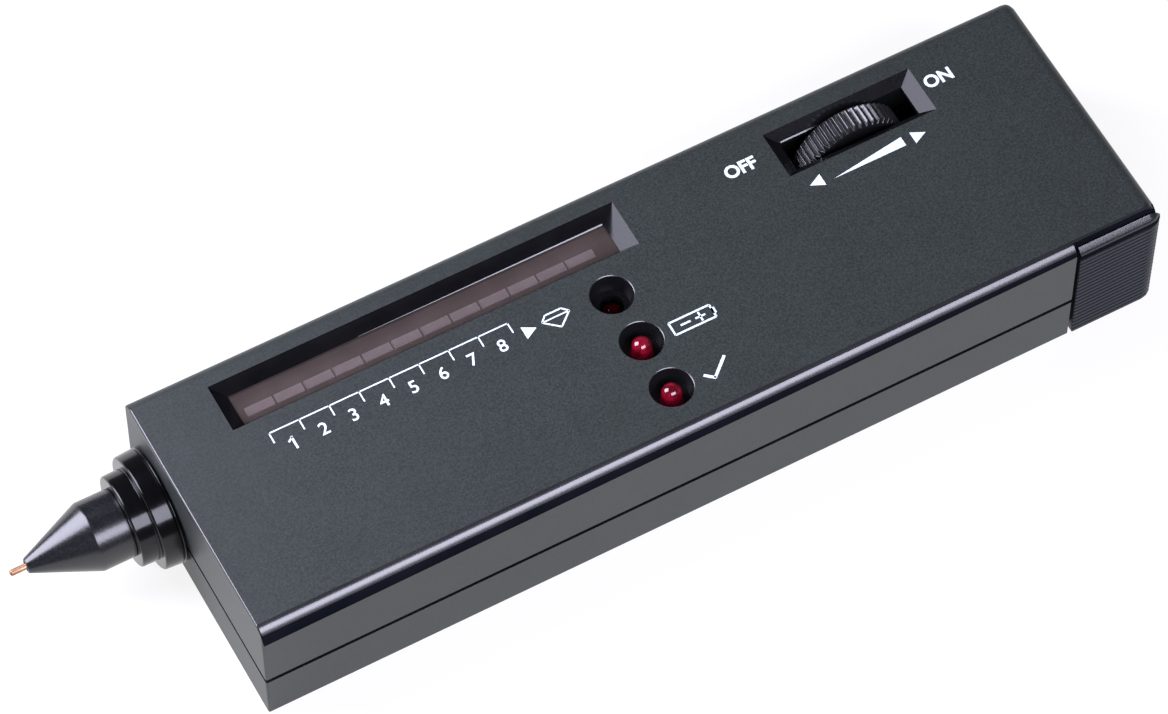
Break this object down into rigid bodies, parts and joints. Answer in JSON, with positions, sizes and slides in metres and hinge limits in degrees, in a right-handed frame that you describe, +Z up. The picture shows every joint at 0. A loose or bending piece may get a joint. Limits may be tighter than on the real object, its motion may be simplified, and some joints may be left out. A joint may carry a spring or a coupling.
{
  "type": "hand-held thermal diamond tester",
  "caption": "Flat black hand-held tester with a stepped probe, sprung copper tip, bar display, lamps in round wells, level wheel and sliding battery door.",
  "frame": {"origin": "centre of the case's flat underside, level with the surface that the tester lies on", "axes": "-X towards the probe tip, +X towards the battery door, -Y the side with the door's wing, +Z up out of the display face"},
  "size_m": [0.1702, 0.0432, 0.024],
  "materials": {
    "case": "fine-grained satin black moulding",
    "door": "ribbed satin black moulding",
    "gloss": "polished black",
    "copper": "bare copper",
    "insulator": "plain off-white",
    "ceramic": "plain fired ceramic",
    "steel": "plain bright steel",
    "window": "clear brown tint",
    "bar": "unlit diffusing bar",
    "lamp": "clear red lens",
    "board": "green board",
    "chip": "plain black",
    "blue": "blue sleeve",
    "battery": "plain dark jacket",
    "lead_red": "red insulation",
    "lead_black": "black insulation"
  },
  "bodies": {
    "case": {"upper_case": "case", "lower_case": "case", "probe_collar": "gloss", "nose_cone": "gloss", "spring_seat": "steel", "tip_spring": "steel", "probe_lead_1": "insulator", "probe_lead_2": "insulator", "display_window": "window", "display_bar_01": "bar", "display_bar_02": "bar", "display_bar_03": "bar", "display_bar_04": "bar", "display_bar_05": "bar", "display_bar_06": "bar", "display_bar_07": "bar", "display_bar_08": "bar", "display_bar_09": "bar", "display_bar_10": "bar", "display_bar_11": "bar", "display_bar_12": "bar", "display_housing": "chip", "lamp_power": "lamp", "lamp_battery": "lamp", "lamp_ready": "lamp", "main_board": "board", "potentiometer": "chip", "battery": "battery", "battery_snap": "lead_black", "battery_lead_red": "lead_red", "battery_lead_black": "lead_black", "buzzer": "chip", "display_driver": "chip", "amplifier": "chip", "heater_transistor": "chip", "capacitor_1": "blue", "capacitor_2": "blue", "calibration_trimmer": "blue", "case_screw_1": "steel", "case_screw_2": "steel", "case_screw_3": "steel", "case_screw_4": "steel", "board_screw_1": "steel", "board_screw_2": "steel"},
    "tip": {"probe_tip": "copper", "tip_carrier": "insulator", "tip_heater": "ceramic", "thermistor": "chip"},
    "wheel": {"volume_wheel": "gloss", "wheel_spindle": "steel", "wheel_screw": "steel"},
    "door": {"battery_door": "door"}
  },
  "joints": [
    {"name": "tip_press", "type": "slide", "parent": "case", "child": "tip", "axis": [1, 0, 0], "range_m": [0, 0.0012], "stiffness_N_per_m": 600, "springref_m": -0.001, "deforming": ["tip_spring", "probe_lead_1", "probe_lead_2"]},
    {"name": "level_wheel", "type": "hinge", "parent": "case", "child": "wheel", "pos_m": [0.04071, 0.01333, 0.01525], "axis": [0, 1, 0], "range_deg": [0, 280]},
    {"name": "door_slide", "type": "slide", "parent": "case", "child": "door", "axis": [1, 0, 0], "range_m": [0, 0.022]}
  ]
}
